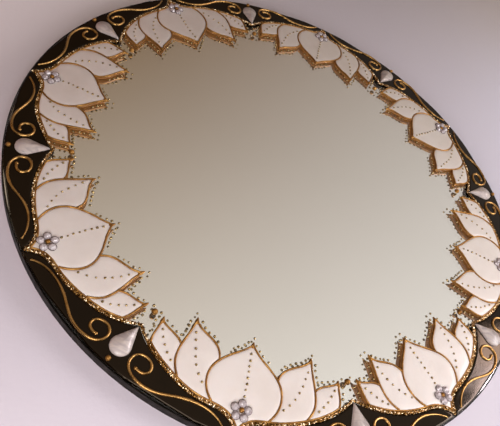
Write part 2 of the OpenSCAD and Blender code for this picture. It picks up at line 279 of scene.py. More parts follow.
CRYSTAL_Y = -185            # middle of the crystal flower
STONE_RING = 4.15           # from there to the middle of each crystal
STONE_R = 2.35
BIG_BEAD_Y, BIG_BEAD_R = -158.5, 2.0
RIM_BEAD_Y, RIM_BEAD_R = -197, 1.6
DROP_TIP_Y = -171.8
DROP_LEN = 21.6
DROP_R = 6.3
DROP_MIDDLE_Y = DROP_TIP_Y - DROP_LEN + DROP_R


def sided(leaf, s):
    """A leaf as drawn, or mirrored with its sense kept."""
    return leaf if s > 0 else mirrored(leaf)[::-1]


SIDES_OF_FLOWER = (1, -1)
PETALS = [CENTRE_LEAF] + [sided(leaf, s) for s in SIDES_OF_FLOWER
                          for leaf in (INNER_LEAF, OUTER_LEAF)]


def closed_from_right(right):
    """A closed outline from its right half, which starts on the axis."""
    return np.concatenate([right, mirrored(right)[:0:-1]])


def both_sides(half):
    """An open line from its right half, which starts on the axis."""
    return np.concatenate([mirrored(half)[:0:-1], half])


def started_on_axis(p):
    """The part of a line with x > 0, cut where it crosses the axis."""
    i = int(np.argmax(p[:, 0] > 0))
    a, b = p[i - 1], p[i]
    return np.concatenate([[a + (b - a) * a[0] / (a[0] - b[0])], p[i:]])


def ground(d):
    """Everything inside a flower's edge, d short of it."""
    line = started_on_axis(shifted(EDGE_LONG, -d))
    return closed_from_right(np.concatenate([line, [[72, -120]]]))


def panel_shape(d):
    """A panel in its own frame, open past the rim."""
    line = rotated(mirrored(shifted(EDGE_LONG, d)), HALF_ANGLE)
    line = started_on_axis(mirrored(line)[::-1])
    return closed_from_right(np.concatenate([line, [[80, -215]]]))


def drop_shape():
    """A round end with two straight sides that meet in a point."""
    a = math.acos(DROP_R / (DROP_TIP_Y - DROP_MIDDLE_Y))
    arc = np.linspace(math.pi / 2 - a, -math.pi * 3 / 2 + a, 40)
    round_end = np.stack([DROP_R * np.cos(arc), DROP_MIDDLE_Y + DROP_R * np.sin(arc)], 1)
    tip = np.array([[0, DROP_TIP_Y]])
    sides = np.linspace(0, 1, 12)[1:-1, None]
    right = tip + (round_end[:1] - tip) * sides
    left = round_end[-1:] + (tip - round_end[-1:]) * sides
    return np.concatenate([tip, right, round_end, left])


# ---- meshing ----
def as_segments(outlines):
    """The sides of closed outlines, as pairs of points."""
    return np.concatenate([np.stack([o, np.roll(o, -1, 0)], 1) for o in outlines])


def triangle_grid(lo, hi, spacing):
    """The corners of equal triangles that cover a rectangle."""
    rows = []
    for k, y in enumerate(np.arange(lo[1], hi[1], spacing * math.sqrt(3) / 2)):
        x = np.arange(lo[0] + (k % 2) * spacing / 2, hi[0], spacing)
        rows.append(np.stack([x, np.full(len(x), y)], 1))
    return np.concatenate(rows)


def filled(outlines, keep, spacing, rings, extra=()):
    """The area that keep() holds, as points, triangles, border edges and each point's distance
    to the border. rings are the distances from the outlines at which points follow them, and
    extra holds lines whose points are used too."""
    clear_of_ring, clear_of_line = 0.85, 0.3
    segments = as_segments(outlines)
    lo, hi = np.min([o.min(0) for o in outlines], 0), np.max([o.max(0) for o in outlines], 0)
    grid = triangle_grid(lo, hi, spacing)
    grid = grid[keep(grid)]
    inner = max(rings) + 0.5 * spacing
    loose = [grid[distance(grid, segments) > inner]]
    for d in rings:
        for o in outlines:
            for q in (grown(o, d), grown(o, -d)):
                q = q[keep(q)]
                if len(q):
                    loose.append(q[distance(q, segments) > clear_of_ring * d])
    for line in extra:
        line = line[keep(line)]
        loose.append(line[distance(line, segments) > clear_of_line])
    corners = np.concatenate(list(outlines) + loose)
    edges, start = [], 0
    for o in outlines:
        n = len(o)
        edges += [(start + i, start + (i + 1) % n) for i in range(n)]
        start += n
    made = delaunay_2d_cdt([Vector(p) for p in corners], edges, [], 0, 1e-4, False)
    points = np.array([tuple(v) for v in made[0]])
    faces = np.array([tuple(f) for f in made[2]])
    faces = faces[keep(points[faces].mean(1))]
    used, faces = np.unique(faces, return_inverse=True)
    faces = faces.reshape(-1, 3)
    points = points[used]
    border = border_edges(faces)
    return points, faces, border, distance(points, points[border])


def border_edges(faces):
    """The directed edges that only one triangle has."""
    directed = {(f[k], f[(k + 1) % 3]) for f in faces.tolist() for k in range(3)}
    return np.array([e for e in directed if (e[1], e[0]) not in directed])


class Solid:
    """Points and faces that build up into one mesh, drawn in the disc's plane."""

    def __init__(self):
        self.points, self.faces, self.flat, self.under, self.count = [], [], [], [], 0

    def add(self, points, faces, flat=False, under=False):
        """flat faces are shaded flat, and under faces take the piece's second material."""
        points = np.asarray(points, float)
        self.points.append(points)
        self.faces += [[int(v) + self.count for v in f] for f in faces]
        self.flat += [flat] * len(faces)
        self.under += [under] * len(faces)
        self.count += len(points)

    def plate(self, area, place, top, floor):
        """A filled area with its points at place, from floor up to top at each point."""
        _, faces, border, _ = area
        n = len(place)
        upper = np.column_stack([place, top])
        lower = np.column_stack([place, np.full(n, floor)])
        self.add(upper, faces)
        sides = [(b, a, a + n, b + n) for a, b in border]
        self.add(np.concatenate([upper, lower]), sides)
        self.add(lower, faces[:, ::-1], under=True)

    def cord(self, line, z, half_w, half_h, sides=10):
        """A rounded cord along a line on the disc, with pointed ends. Its half width and half
        height are one number, or one for each point."""
        n = len(line)
        t = directions(line)
        across = np.stack([t[:, 1], -t[:, 0]], 1)
        a = np.linspace(0, 2 * math.pi, sides, endpoint=False)
        half_w = np.broadcast_to(half_w, n)
        half_h = np.broadcast_to(half_h, n)
        rings = []
        for i in range(n):
            flat = line[i] + across[i] * (half_w[i] * np.cos(a))[:, None]
            rings.append(np.column_stack([flat, z + half_h[i] * np.sin(a)]))
        first = np.append(line[0] - t[0] * (END_REACH * half_w[0]), z)
        last = np.append(line[-1] + t[-1] * (END_REACH * half_w[-1]), z)
        points = np.concatenate(rings + [[first, last]])
        faces = [(i * sides + k, i * sides + (k + 1) % sides,
                  (i + 1) * sides + (k + 1) % sides, (i + 1) * sides + k)
                 for i in range(n - 1) for k in range(sides)]
        tail = (n - 1) * sides
        faces += [((k + 1) % sides, k, n * sides) for k in range(sides)]
        faces += [(tail + k, tail + (k + 1) % sides, n * sides + 1) for k in range(sides)]
        self.add(points, faces)

    def pebble(self, at, size, detail, unevenness, flat=False, floor=None):
        """An uneven bead, cut off flat at floor. size is its three half sizes."""
        points, faces = BALLS[detail]
        lumps = 1 + unevenness * random.standard_normal(len(points))[:, None]
        spin = random.uniform(0, 360)
        p = points * lumps
        p = np.column_stack([rotated(p[:, :2], spin), p[:, 2]]) * size + at
        if floor is not None:
            p[:, 2] = np.maximum(p[:, 2], floor)
        self.add(p, faces, flat)

    def piece(self, name, material, slot, replaces, underside=None):
        """Make the mesh in the row frame, on the disc's body, in place of the CAD nodes."""
        mesh = bpy.data.meshes.new(name)
        p = np.concatenate(self.points) * MM
        mesh.from_pydata(np.stack([p[:, 0], -p[:, 2], p[:, 1]], 1).tolist(), [], self.faces)
        mesh.polygons.foreach_set("use_smooth", [not f for f in self.flat])
        mesh.materials.append(material)
        if underside:
            mesh.materials.append(underside)
            mesh.polygons.foreach_set("material_index", [int(u) for u in self.under])
        mesh.validate()
        thing = bpy.data.objects.new(name, mesh)
        bpy.context.scene.collection.objects.link(thing)
        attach(thing, "disc")
        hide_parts(*replaces)


def ball(subdivisions):
    """The points and triangles of a unit ball, made by splitting an icosahedron."""
    g = (1 + math.sqrt(5)) / 2
    points = [unit(np.array(p, float)) for p in (
        (-1, g, 0), (1, g, 0), (-1, -g, 0), (1, -g, 0), (0, -1, g), (0, 1, g),
        (0, -1, -g), (0, 1, -g), (g, 0, -1), (g, 0, 1), (-g, 0, -1), (-g, 0, 1))]
    faces = [(0, 11, 5), (0, 5, 1), (0, 1, 7), (0, 7, 10), (0, 10, 11), (1, 5, 9), (5, 11, 4),
             (11, 10, 2), (10, 7, 6), (7, 1, 8), (3, 9, 4), (3, 4, 2), (3, 2, 6), (3, 6, 8),
             (3, 8, 9), (4, 9, 5), (2, 4, 11), (6, 2, 10), (8, 6, 7), (9, 8, 1)]
    for _ in range(subdivisions):
        middle, split = {}, []
        for f in faces:
            m = []
            for a, b in ((f[0], f[1]), (f[1], f[2]), (f[2], f[0])):
                key = (min(a, b), max(a, b))
                if key not in middle:
                    middle[key] = len(points)
                    points.append(unit(points[a] + points[b]))
                m.append(middle[key])
            split += [(f[0], m[0], m[2]), (f[1], m[1], m[0]), (f[2], m[2], m[1]), tuple(m)]
        faces = split
    return np.array(points), faces


BALLS = [ball(n) for n in range(4)]


# ---- materials ----
def new_node(tree, kind, inputs=None, **settings):
    """A node whose inputs are values, or the outputs of other nodes that are linked to them."""
    made = tree.nodes.new(kind)
    for key, value in settings.items():
        setattr(made, key, value)
    for key, value in (inputs or {}).items():
        if isinstance(value, bpy.types.NodeSocket):
            tree.links.new(value, made.inputs[key])
        else:
            made.inputs[key].default_value = value
    return made


class Look:
    """A node material around one Principled shader, in the coordinates of its piece."""

    def __init__(self, name, **sockets):
        self.material = bpy.data.materials.new(name)
        self.material.use_nodes = True
        self.tree = self.material.node_tree
        self.shader = self.tree.nodes["Principled BSDF"]
        self.place = self.node("ShaderNodeTexCoord").outputs["Object"]
        for socket, value in sockets.items():
            self.shader.inputs[socket.replace("_", " ")].default_value = value

    def node(self, kind, inputs=None, **settings):
        return new_node(self.tree, kind, inputs, **settings)

    def link(self, a, b):
        self.tree.links.new(a, b)

    def noise(self, scale, detail=3, roughness=0.5, distortion=0, stretch=None):
        place = self.place
        if stretch:
            place = self.node("ShaderNodeMapping",
                              {"Scale": stretch, "Vector": place}).outputs["Vector"]
        return self.node("ShaderNodeTexNoise", {
            "Scale": scale, "Detail": detail, "Roughness": roughness, "Distortion": distortion,
            "Vector": place}).outputs["Fac"]

    def ramp(self, source, *stops):
        made = self.node("ShaderNodeValToRGB", {"Fac": source})
        elements = made.color_ramp.elements
        while len(elements) < len(stops):
            elements.new(0.5)
        for element, (at, colour) in zip(elements, stops):
            element.position = at
            element.color = (*colour, 1)
        return made.outputs["Color"]

    def spread(self, source, low, high):
        """The middle of a noise stretched from low to high."""
        return self.node("ShaderNodeMapRange", {
            "Value": source, "From Min": 0.3, "From Max": 0.7, "To Min": low,
            "To Max": high}).outputs["Result"]

    def colour(self, source, *stops):
        self.link(self.ramp(source, *stops), self.shader.inputs["Base Color"])

    def rough(self, source, low, high):
        self.link(self.spread(source, low, high), self.shader.inputs["Roughness"])

    def bump(self, source, distance, strength=1.0):
        """One more layer of relief, over those already there."""
        made = self.node("ShaderNodeBump", {
            "Height": source, "Strength": strength, "Distance": distance})
        before = self.shader.inputs["Normal"].links
        if before:
            self.link(before[0].from_socket, made.inputs["Normal"])
        self.link(made.outputs["Normal"], self.shader.inputs["Normal"])


def painted(name, colour, rough, *bumps, **sockets):
    """A material made of noise alone. colour is a noise's arguments and its stops, rough a noise's
    arguments with the lowest and highest roughness, and each bump a noise's arguments with its
    depth and strength."""
    look = Look(name, **sockets)
    noise, *stops = colour
    look.colour(look.noise(*noise), *stops)
    noise, low, high = rough
    look.rough(look.noise(*noise), low, high)
    for noise, *depth in bumps:
        look.bump(look.noise(*noise), *depth)
    return look.material


# gold contour paint: copper and worn bright gold in random patches
GOLD = painted(
    "gold_outline",
    ((140, 4, 0.6), (0.30, (0.17, 0.072, 0.014)), (0.52, (0.31, 0.140, 0.030)),
     (0.75, (0.62, 0.35, 0.10))),
    ((420, 3), 0.30, 0.55), ((520, 3), 0.00035), ((2200, 2), 0.00008), Metallic=0.75)
# brown-gold paint on the thick sides of the flowers
SIDES = painted(
    "gold_sides", ((90, 4, 0.6), (0.3, (0.36, 0.14, 0.04)), (0.7, (0.56, 0.24, 0.07))),
    ((300, 3), 0.35, 0.6), ((420, 4), 0.0004))
# darker, smoother gold than the outlines
SCROLLS = painted(
    "gold_scroll",
    ((60, 4, 0.55), (0.3, (0.28, 0.145, 0.045)), (0.6, (0.42, 0.235, 0.08)),
     (0.8, (0.62, 0.38, 0.16))),
    ((260, 3), 0.20, 0.38), ((240, 3), 0.0004), ((1500, 2), 0.00006), Metallic=1.0)
# glitter: dark gold with grains that flash
ROPES = painted(
    "gold_glitter",
    ((900, 2, 0.5), (0.40, (0.12, 0.055, 0.012)), (0.54, (0.32, 0.16, 0.045)),
     (0.64, (0.95, 0.80, 0.58))),
    ((700, 2), 0.12, 0.34), ((1600, 2), 0.0001), Metallic=1.0)
# small drops of olive gold
DOTS = painted(
    "gold_dots", ((300, 3, 0.5), (0.35, (0.20, 0.135, 0.06)), (0.65, (0.42, 0.30, 0.14))),
    ((800, 2), 0.16, 0.34), ((1400, 2), 0.0001), Metallic=1.0)
# cut crystal over foil, which looks like pale lilac metal
CRYSTAL = painted(
    "crystal", ((420, 2), (0.35, (0.42, 0.35, 0.36)), (0.65, (0.66, 0.57, 0.58))),
    ((500, 2), 0.10, 0.26), Metallic=0.1, Coat_Weight=0.3, Coat_Roughness=0.05)
# the thin dark metal cup around each crystal
CUP = painted(
    "crystal_cup", ((600, 3), (0.35, (0.13, 0.10, 0.10)), (0.65, (0.34, 0.28, 0.28))),
    ((900, 2), 0.2, 0.4), ((1500, 2), 0.00008), Metallic=1.0)
# clear glass with a faint haze, and the silver coat behind it
CLEAR = painted(
    "mirror_glass_clear", ((6, 3), (0.3, (0.965, 0.975, 0.965)), (0.7, (0.975, 0.98, 0.972))),
    ((30, 5, 0.7), 0.0, 0.012), Transmission_Weight=1.0, IOR=1.5)
SILVER = painted(
    "mirror_silver", ((9, 4), (0.3, (0.945, 0.94, 0.93)), (0.7, (0.955, 0.95, 0.94))),
    ((14, 4), 0.0, 0.01), Metallic=1.0)
# black tape around the edge, worn brown in places
EDGE_TAPE = painted(
    "black_edge",
    ((160, 5, 0.65), (0.35, (0.006, 0.004, 0.003)), (0.62, (0.014, 0.010, 0.007)),
     (0.8, (0.05, 0.035, 0.025))),
    ((240, 4), 0.4, 0.65), ((800, 3), 0.00008), Specular_IOR_Level=0.12)
# matt black rubber, dusty in places
RUBBER = painted(
    "rubber", ((300, 4), (0.35, (0.018, 0.017, 0.016)), (0.7, (0.04, 0.038, 0.036))),
    ((500, 3), 0.6, 0.85), ((900, 4), 0.00015))
# a pale matt floor
FLOOR_PAINT = painted(
    "floor", ((4, 4), (0.3, (0.66, 0.62, 0.61)), (0.7, (0.72, 0.68, 0.66))),
    ((20, 4), 0.6, 0.8), ((200, 4), 0.0003, 0.4))
# poured white enamel: faint clouding, tiny ripples and pinholes under a gloss coat
WHITE = painted(
    "white_enamel",
    ((45, 4, 0.55), (0.3, (0.81, 0.70, 0.645)), (0.55, (0.87, 0.765, 0.715)),
     (0.75, (0.89, 0.79, 0.75))),
    ((180, 4), 0.30, 0.46), ((70, 3), 0.0006, 0.5), ((650, 3), 0.00006, 0.6),
    Coat_Weight=0.15, Coat_Roughness=0.12, Specular_IOR_Level=0.3, Subsurface_Weight=0.06,
    Subsurface_Radius=(0.002, 0.0015, 0.001), Subsurface_Scale=0.5)
# black lacquer, poured a little unevenly, with dust and faint hairlines
BLACK = painted(
    "black_gloss", ((25, 4, 0.6), (0.35, (0.004, 0.002, 0.0008)), (0.7, (0.010, 0.005, 0.002))),
    ((120, 5, 0.65), 0.01, 0.045), ((35, 2), 0.0002, 0.35), ((1300, 3), 0.00003, 0.5),
    Specular_IOR_Level=0.2, Specular_Tint=(1.0, 0.78, 0.58, 1))


def underside_look():
    """The paint of the sides where it lies on the glass. The light that the silver throws back
    on it is stood in for by a faint glow."""
    look = Look("gold_undersides", Emission_Strength=0.20, Specular_IOR_Level=0.1)
    paint = look.ramp(look.noise(130, 4, 0.6), (0.3, (0.40, 0.155, 0.045)),
                      (0.7, (0.64, 0.27, 0.075)))
    look.link(paint, look.shader.inputs["Base Color"])
    look.link(paint, look.shader.inputs["Emission Color"])
    look.rough(look.noise(300, 3), 0.5, 0.7)
    return look.material


def pearl_look():
    """Mother of pearl: soft lilac and cream bands under a clear coat."""
    look = Look("pearl", Coat_Weight=0.25, Coat_Roughness=0.1, Sheen_Weight=0.15)
    bands = look.noise(85, 3, 0.5, 1.6, stretch=(1, 1, 2.2))
    look.colour(bands, (0.3, (0.38, 0.30, 0.29)), (0.45, (0.50, 0.41, 0.39)),
                (0.58, (0.62, 0.51, 0.46)), (0.75, (0.48, 0.41, 0.43)))
    look.rough(look.noise(160, 3), 0.28, 0.42)
    look.bump(look.noise(240, 3), 0.00012, 0.5)
    return look.material


def hardboard_look():
    """Brown pressed board: matted fibres, darker specks and a woven press mark."""
    look = Look("hardboard")
    fibres = look.noise(260, 6, 0.75, 1.2, stretch=(1, 1, 3))
    look.colour(fibres, (0.30, (0.13, 0.07, 0.035)), (0.5, (0.25, 0.15, 0.08)),
                (0.7, (0.36, 0.235, 0.135)))
    look.rough(look.noise(90, 4), 0.6, 0.85)
    weave = look.node("ShaderNodeTexWave", {
        "Scale": 420, "Distortion": 1.5, "Vector": look.place}, bands_direction="DIAGONAL")
    look.bump(weave.outputs["Fac"], 0.0001, 0.5)
    look.bump(fibres, 0.0002)
    return look.material


def steel_look(name, tint, stretch):
    """Zinc-plated steel with rolling marks along one direction."""
    look = Look(name, Metallic=1.0)
    shade = tuple(c * 0.72 for c in tint)
    look.colour(look.noise(70, 5, 0.6), (0.3, shade), (0.7, tint))
    marks = look.noise(900, 4, 0.6, stretch=stretch)
    look.rough(marks, 0.22, 0.45)
    look.bump(marks, 0.00005, 0.7)
    return look.material


UNDERSIDE, PEARL = underside_look(), pearl_look()


# ---- the glass ----
def lathed(profile, segments=288):
    """Points and faces of a turned shape, whose first and last profile points are its rims."""
    a = np.linspace(0, 2 * math.pi, segments, endpoint=False)
    points = np.concatenate([np.stack([r * np.cos(a), r * np.sin(a), np.full(segments, z)], 1)
                             for r, z in profile])
    faces = []
    for i in range(len(profile) - 1):
        for k in range(segments):
            n = (k + 1) % segments
            faces.append((i * segments + k, i * segments + n,
                          (i + 1) * segments + n, (i + 1) * segments + k))
    last = (len(profile) - 1) * segments
    faces.append(list(range(segments))[::-1])
    faces.append([last + k for k in range(segments)])
    return points, faces


def glass():
    """A clear pane with a bevelled front edge, and the silver coat inside its back."""
    silver_t, skin, inset = 0.06, 0.01, 0.3
    bevel = 0.5
    pane = Solid()
    pane.add(*lathed([(DISC_R, GLASS_BACK + silver_t), (DISC_R, GLASS - bevel),
                      (DISC_R - bevel, GLASS)]), flat=True)
    pane.piece("glass_pane", CLEAR, "mirror", ["mirror_glass"])
    silver = Solid()
    silver.add(*lathed([(DISC_R - inset, GLASS_BACK + skin),
                        (DISC_R - inset, GLASS_BACK + silver_t - skin)]), flat=True)
    silver.piece("silver_coat", SILVER, "mirror", ["mirror_glass"])


# ---- panels ----
def rounded(reach, width):
    """0 at the border, rising like a quarter circle to 1 at width from it."""
    t = np.clip(reach / width, 0, 1)
    return np.sqrt(1 - (1 - t) ** 2)


def panels():
    """Lacquer plates with rounded edges and a slight swell, each one different."""
    edge_drop, edge_width = 0.55, 0.9
    swell_height, swell_fade = 0.015, 3
    sunk = 0.04             # how far the lacquer stays below the CAD panel's top
    arc = np.radians(np.linspace(-120, -60, 121))
    rim = RIM_R * np.stack([np.cos(arc), np.sin(arc)], 1)
    closed_rim = np.concatenate([rim, [[95, -120], [-95, -120]]])
    shape = panel_shape(ROPE_HALF + FRAME_GAP)

    def keep(p):
        return within(p, shape) & (np.linalg.norm(p, axis=1) < RIM_R)

    area = filled([resampled_closed(shape, 1.5), closed_rim], keep, 3.2, [0.3, 0.8, 1.6])
    points, reach = area[0], area[3]
    for i in FLOWERS:
        place = laid(points, panel_turn(i))
        swell = swell_height * np.sin(place[:, 0] * 0.21 + 2 * i) * np.sin(place[:, 1] * 0.17 + i)
        top = (PANEL - edge_drop + edge_drop * rounded(reach, edge_width)
               + swell * np.clip(reach / swell_fade, 0, 1))
        plate = Solid()
        plate.plate(area, place, top - sunk, GLASS + GLUE)
        plate.piece(f"panel_{i}", BLACK, "black_gloss", [f"border_panel_{i}"])


# ---- flowers ----
def leaves(side):
    """The two petals of one side, each with the leaves that lie over it."""
    return [(sided(INNER_LEAF, side), [CENTRE_LEAF]),
            (sided(OUTER_LEAF, side), [sided(INNER_LEAF, side), CENTRE_LEAF])]


def white_area(leaf, over):
    """The enamel field of one petal: the leaf without what lies over it."""
    tuck = 0.25             # how far the enamel runs under its outline
    leaf = grown(leaf, tuck)
    over = [grown(o, LINE_W - tuck) for o in over]
    foot = ground(ROPE_HALF + ENAMEL_GAP)

    def keep(p):
        return within(p, leaf) & within(p, foot) & ~in_any(p, over)

    return filled([leaf, *over, foot], keep, 1.9, [0.3, 0.75, 1.4])


def frame_area():
    """The floor under a whole flower."""
    shapes = [grown(leaf, LINE_W - 0.1) for leaf in PETALS]
    foot = ground(ROPE_HALF + FRAME_GAP)

    def keep(p):
        return in_any(p, shapes) & within(p, foot)

    return filled([*shapes, foot], keep, 6, [0.5])


def runs(line, keep, least=3):
    """The stretches of a line whose points are kept."""
    held = keep(line)
    out, now = [], []
    for p, h in zip(line, held):
        if h:
            now.append(p)
        elif now:
            out.append(np.array(now))
            now = []
    if now:
        out.append(np.array(now))
    return [r for r in out if len(r) >= least]


def outline_lines():
    """The lines that the gold outlines of one flower's petals follow."""
    foot = ground(ROPE_HALF + OUTLINE_GAP)
    lines = []
    for leaf, over in [(CENTRE_LEAF, [])] + [pair for s in SIDES_OF_FLOWER for pair in leaves(s)]:
        line = resampled_closed(grown(leaf, LINE_W / 2), 0.8)
        covers = [grown(o, LINE_W * 0.6) for o in over]

        def keep(p):
            return within(p, foot) & ~in_any(p, covers)

        lines += runs(np.concatenate([line, line[:1]]), keep)
    return lines


def foot_lines():
    """The lines along the foot of a flower, where its petals reach it."""
    half = started_on_axis(shifted(EDGE_LONG, -(ROPE_HALF + FOOT_GAP)))
    line = resampled(both_sides(half), 0.9)
    shapes = [grown(leaf, 0.9) for leaf in PETALS]
    return runs(line, lambda p: in_any(p, shapes))


def breath(n, amount, pitch):
    """Slow random swelling about 1, for a line of n points."""
    knots = np.arange(0, n + pitch, pitch)
    return 1 + amount * np.interp(np.arange(n), knots, random.standard_normal(len(knots)))


def flowers():
    """Each lotus: its floor, the gold cords and spikes, the enamel and the crystals."""
    cord_w, cord_h, cord_z = 0.66, 0.95, 0.45
    foot_w, foot_h, foot_z = 0.55, 0.8, 0.4
    spike_h, spike_z = 0.9, 1.05
    spike_w = np.array([0.7, 1.15, 1.45, 1.45, 1.2, 0.9, 0.65, 0.4])
    centre = white_area(CENTRE_LEAF, [])
    sides = [white_area(leaf, over) for s in SIDES_OF_FLOWER for leaf, over in leaves(s)]
    body = frame_area()
    lines = outline_lines()
    inside = foot_lines()
    tips = [CENTRE_TIP, INNER_TIP, OUTER_TIP, mirrored(INNER_TIP), mirrored(OUTER_TIP)]
    bed = ENAMEL - 1.0      # top of the frame's floor under the enamel
    for i in FLOWERS:
        turn = flower_turn(i)
        base = Solid()
        base.plate(body, laid(body[0], turn), np.full(len(body[0]), bed), GLASS + GLUE)
        base.piece(f"lotus_base_{i}", SIDES, "brass", [f"lotus_frame_{i}"], underside=UNDERSIDE)

        gold = Solid()
        for line in lines:
            swell = breath(len(line), 0.10, 6)
            gold.cord(laid(line, turn), bed + cord_z, cord_w * swell,
                      cord_h * np.clip(swell, 0.8, 1))
        for line in inside:
            gold.cord(laid(line, turn), bed + foot_z, foot_w, foot_h, sides=8)
        for tip in tips:
            spike = tip + np.linspace([0, -1.6], [0, random.uniform(2.0, 3.4)], len(spike_w))
            gold.cord(laid(spike, turn), OUTLINE - spike_z, spike_w,
                      spike_h * np.sqrt(spike_w / 1.5))
        gold.piece(f"lotus_outline_{i}", GOLD, "brass", [f"lotus_frame_{i}"])

        enamel(f"petal_centre_{i}", [centre], turn, bed, [f"centre_petal_{i}"])
        enamel(f"petal_sides_{i}", sides, turn, bed, [f"side_petals_{i}"])
        crystal_flower(i, turn)


def enamel(name, areas, turn, bed, replaces):
    """Poured enamel that swells gently inside its outline."""
    edge_drop, edge_width = 0.55, 2.2
    swell, swell_width = 0.14, 12
    fill = Solid()
    for area in areas:
        reach = area[3]
        rise = edge_drop * rounded(reach, edge_width) + swell * np.clip(reach / swell_width, 0, 1)
        fill.plate(area, laid(area[0], turn), ENAMEL - edge_drop + rise, bed - 0.05)
    fill.piece(name, WHITE, "white_enamel", replaces)


def circle_points(middle, count, radius, z, start):
    """count points around middle at height z, from start degrees on."""
    return np.array([[*(middle + rotated([[radius, 0]], start + j * 360 / count)[0]), z]
                     for j in range(count)])


def brilliant(middle, low, high, spin):
    """A round crystal: a girdle of 16 facets, a crown of 8 and a table of 8 sides."""
    height = high - low
    points = np.concatenate([
        circle_points(middle, 16, STONE_R * 0.97, low, spin),
        circle_points(middle, 16, STONE_R * 0.97, low + height * 0.30, spin),
        circle_points(middle, 8, STONE_R * 0.74, low + height * 0.72, spin + 11.25),
        circle_points(middle, 8, STONE_R * 0.46, high, spin + 33.75)])
    g, c, t = 16, 32, 40    # where the girdle, the crown and the table start
    faces = [(j, (j + 1) % 16, g + (j + 1) % 16, g + j) for j in range(16)]
    for j in range(8):
        a, n = 2 * j, (j + 1) % 8
        faces += [(g + a, g + a + 1, c + j),
                  (g + a + 1, g + (a + 2) % 16, c + j),
                  (g + (a + 2) % 16, c + n, c + j),
                  (c + j, c + n, t + j),
                  (t + (j - 1) % 8, c + j, t + j)]
    faces.append([t + j for j in range(8)])
    faces.append([15 - j for j in range(16)])
    return points, faces


def crystal_flower(i, turn):
    """Five crystals in cups around a gold bead."""
    stones, cups, heart = Solid(), Solid(), Solid()
    low = ENAMEL + 0.05
    for k in range(5):
        middle = np.array([0, CRYSTAL_Y]) + rotated([[0, STONE_RING]], 72 * k)[0]
        middle = swung([middle], turn)[0]
        stones.add(*brilliant(middle, low, STONE, random.uniform(0, 45)), flat=True)
        around = np.linspace(0, 2 * math.pi, 29)
        hoop = middle + (STONE_R + 0.02) * np.stack([np.cos(around), np.sin(around)], 1)
        cups.cord(hoop, low + 0.30, 0.24, 0.42, sides=6)
    at = laid([[0, CRYSTAL_Y]], turn)[0]
    heart.pebble([*at, low + 0.5], np.array([1.55, 1.55, 1.35]), 3, 0.03, floor=low)
    stones.piece(f"crystals_{i}", CRYSTAL, "crystal", [f"crystal_flower_{i}"])
    cups.piece(f"crystal_cups_{i}", CUP, "crystal", [f"crystal_flower_{i}"])
    heart.piece(f"crystal_heart_{i}", GOLD, "brass", [f"crystal_flower_{i}"])


# ---- rope, scrolls, dots and beads ----
def rope():
    """A cord with two lanes of uneven glitter grains on it."""
    cord_w, cord_h, cord_z = 0.9, 0.72, 0.75
    grain_r, grain_pitch, grain_z = 0.62, 1.25, 0.72
    strand = Solid()
    line = both_sides(started_on_axis(EDGE_LONG[:-1]))
    core = resampled(line, 1.2)
    for i in FLOWERS:
        turn = flower_turn(i)
        strand.cord(laid(core, turn), GLASS + cord_z, cord_w, cord_h, sides=8)
        for lane in (-0.48, 0.46):
            grains = resampled(shifted(line, lane), grain_pitch)
            grains = grains + random.normal(0, 0.12, grains.shape)
            for p in laid(grains, turn):
                size = np.full(3, grain_r) * random.uniform(0.75, 1.15)
                z = ROPE - grain_z + random.normal(0, 0.09)
                strand.pebble([*p, z], size, 1, 0.10, flat=True)
    strand.piece("rope", ROPES, "gold_glitter", ["rope_edging"])


def scrolls():
    """Round-topped scrolls, thin at the tail and with a bead at each end."""
    foot = PANEL - 0.02
    work = Solid()
    line = resampled(SCROLL_LINE, 1.0)
    n = len(line)
    tail = np.clip(np.arange(n) / (0.25 * n), 0, 1)
    width = 0.52 + 0.42 * tail ** 0.8
    height = (SCROLL - PANEL) * (0.75 + 0.25 * tail)
    for i in FLOWERS:
        for path in (line, mirrored(line)):
            place = laid(path, panel_turn(i))
            work.cord(place, foot, width * breath(n, 0.05, 8), height, sides=12)
            work.pebble([*place[-1], foot], np.array([1.2, 1.2, 1.15]), 2, 0.03)
            work.pebble([*place[0], foot], np.full(3, 0.75), 2, 0.03)
    work.piece("scrollwork", SCROLLS, "brass", ["panel_scrolls"])


def dot_places():
    """Where the dots around a flower sit on the glass: beside the tips, then above each."""
    gap = LINE_W + 2.0
    pitch = 3.6
    right = np.concatenate([
        row(shifted(CENTRE_OUT, -gap), 0.4, pitch, 4),
        row(shifted(INNER_IN[1], -gap)[::-1], 0.6, pitch, 5),
        row(shifted(INNER_OUT[0], -gap), 0.6, pitch, 4),
        row(shifted(OUTER_IN[1], -gap)[::-1], 0.8, pitch, 3),
        row(shifted(joined(*OUTER_OUT), -gap), 0.8, pitch, 3),
        [INNER_TIP + np.array([0.8, 5.4]), OUTER_TIP + np.array([2.2, 5.2])]])
    return np.concatenate([[CENTRE_TIP + np.array([0, 5.4])], right, mirrored(right)])


def petal_dot_places():
    """Where the dots down the middle of each petal sit."""
    right = np.concatenate([
        row(bez([34.6, -149.5], [33, -158], [33, -168], [22.5, -178]), 0, 4.9, 7),
        row(bez([52.8, -155.5], [50.5, -162], [48, -169], [39, -175.5]), 0, 4.5, 5)])
    middle = np.array([[0, -150.5 - 3.75 * k] for k in range(8)])
    return np.concatenate([middle, right, mirrored(right)])


def sow(solid, places, turn, scatter, sizes, height, z, unevenness, floor):
    """A dot near each place. sizes is the range of its radius, and height is per radius."""
    places = places + random.normal(0, scatter, places.shape)
    for p in laid(places, turn):
        r = random.uniform(*sizes)
        solid.pebble([*p, z], np.array([r, r, r * height]), 1, unevenness, floor=floor)


